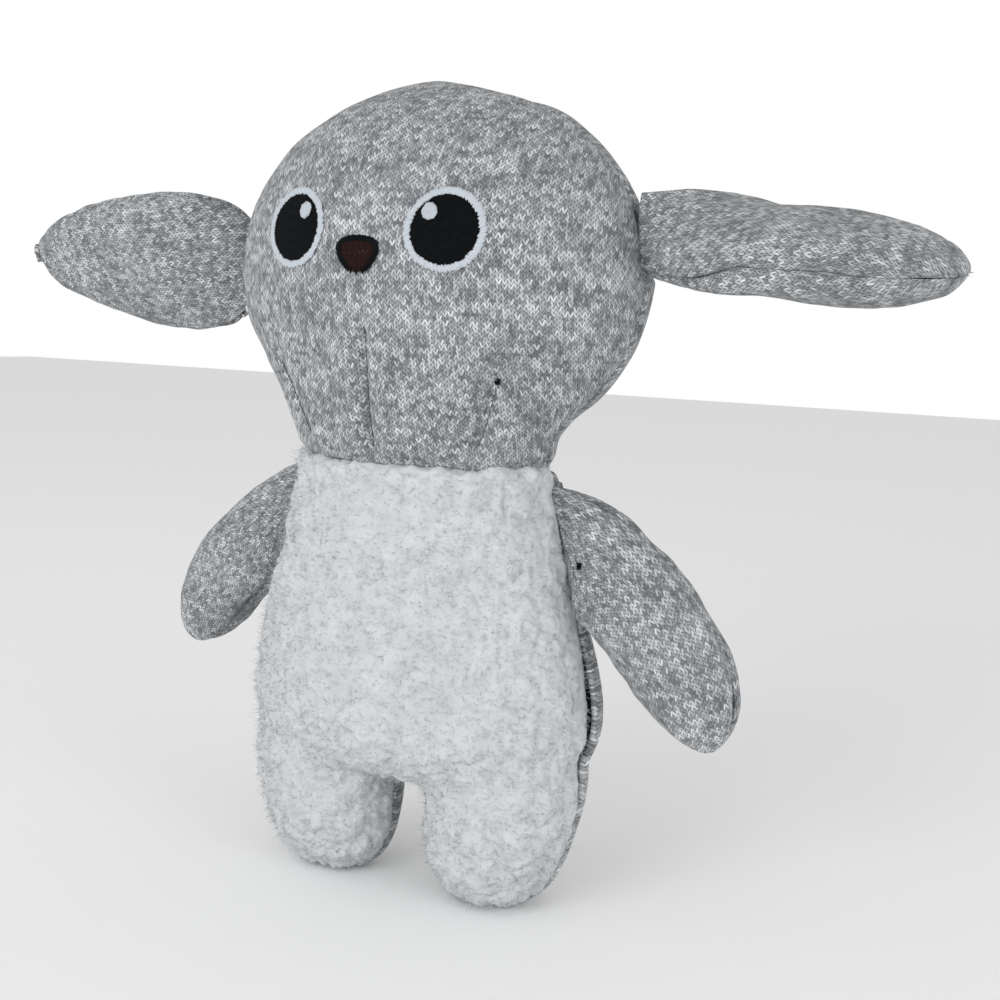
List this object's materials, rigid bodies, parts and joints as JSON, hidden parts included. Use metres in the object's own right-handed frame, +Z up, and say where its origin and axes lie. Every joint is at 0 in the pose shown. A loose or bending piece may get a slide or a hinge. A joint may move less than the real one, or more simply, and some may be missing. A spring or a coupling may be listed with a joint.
{
  "type": "plush lamb toy",
  "caption": "Soft stuffed lamb with a knitted head, long ears and arms, and a white fleece belly; its head nods and its ears and arms flap.",
  "frame": {"origin": "on the ground between the feet, under the middle of the toy's box", "axes": "+Z up, the face looks along -Y, the toy's own left side is at +X"},
  "size_m": [0.304, 0.093, 0.2395],
  "materials": {
    "heather_knit": "matte",
    "sherpa_fleece": "matte",
    "fibre_fill": "matte",
    "seam_thread": "matte",
    "white_thread": "satin",
    "black_thread": "satin",
    "brown_thread": "satin"
  },
  "bodies": {
    "torso": {"belly_panel": "sherpa_fleece", "body_back_panel": "heather_knit", "body_seam_thread": "seam_thread", "body_stuffing": "fibre_fill", "neck_seam_thread": "seam_thread"},
    "head": {"cheek_knot": "black_thread", "head_back_panel": "heather_knit", "head_front_panel": "heather_knit", "head_seam_thread": "seam_thread", "head_stuffing": "fibre_fill", "left_eye_highlight": "white_thread", "left_eye_pupil": "black_thread", "left_eye_ring": "white_thread", "left_tuck_thread": "seam_thread", "middle_tuck_thread": "seam_thread", "nose_embroidery": "brown_thread", "right_eye_highlight": "white_thread", "right_eye_pupil": "black_thread", "right_eye_ring": "white_thread", "right_tuck_thread": "seam_thread"},
    "left_ear": {"left_ear_lower_panel": "heather_knit", "left_ear_stuffing": "fibre_fill", "left_ear_upper_panel": "heather_knit"},
    "right_ear": {"right_ear_lower_panel": "heather_knit", "right_ear_stuffing": "fibre_fill", "right_ear_upper_panel": "heather_knit"},
    "left_arm": {"arm_knot": "black_thread", "left_arm_back_panel": "heather_knit", "left_arm_front_panel": "heather_knit", "left_arm_stuffing": "fibre_fill"},
    "right_arm": {"right_arm_back_panel": "heather_knit", "right_arm_front_panel": "heather_knit", "right_arm_stuffing": "fibre_fill"}
  },
  "joints": [
    {"name": "head_nod", "type": "hinge", "parent": "torso", "child": "head", "pos_m": [0, 0, 0.131], "axis": [1, 0, 0], "range_deg": [-19, 19], "stiffness_Nm_per_rad": 0.3},
    {"name": "left_ear_flap", "type": "hinge", "parent": "head", "child": "left_ear", "pos_m": [0.06634, 0, 0.1975], "axis": [0, 0, 1], "range_deg": [-40, 40], "stiffness_Nm_per_rad": 0.02},
    {"name": "right_ear_flap", "type": "hinge", "parent": "head", "child": "right_ear", "pos_m": [-0.0677, 0, 0.1865], "axis": [0, 0, -1], "range_deg": [-40, 40], "stiffness_Nm_per_rad": 0.02},
    {"name": "left_arm_flap", "type": "hinge", "parent": "torso", "child": "left_arm", "pos_m": [0.04827, 0, 0.1095], "axis": [-0.2742, 0, 0.9617], "range_deg": [-50, 40], "stiffness_Nm_per_rad": 0.02},
    {"name": "right_arm_flap", "type": "hinge", "parent": "torso", "child": "right_arm", "pos_m": [-0.04827, 0, 0.1095], "axis": [-0.2742, 0, -0.9617], "range_deg": [-67, 18], "stiffness_Nm_per_rad": 0.02}
  ]
}
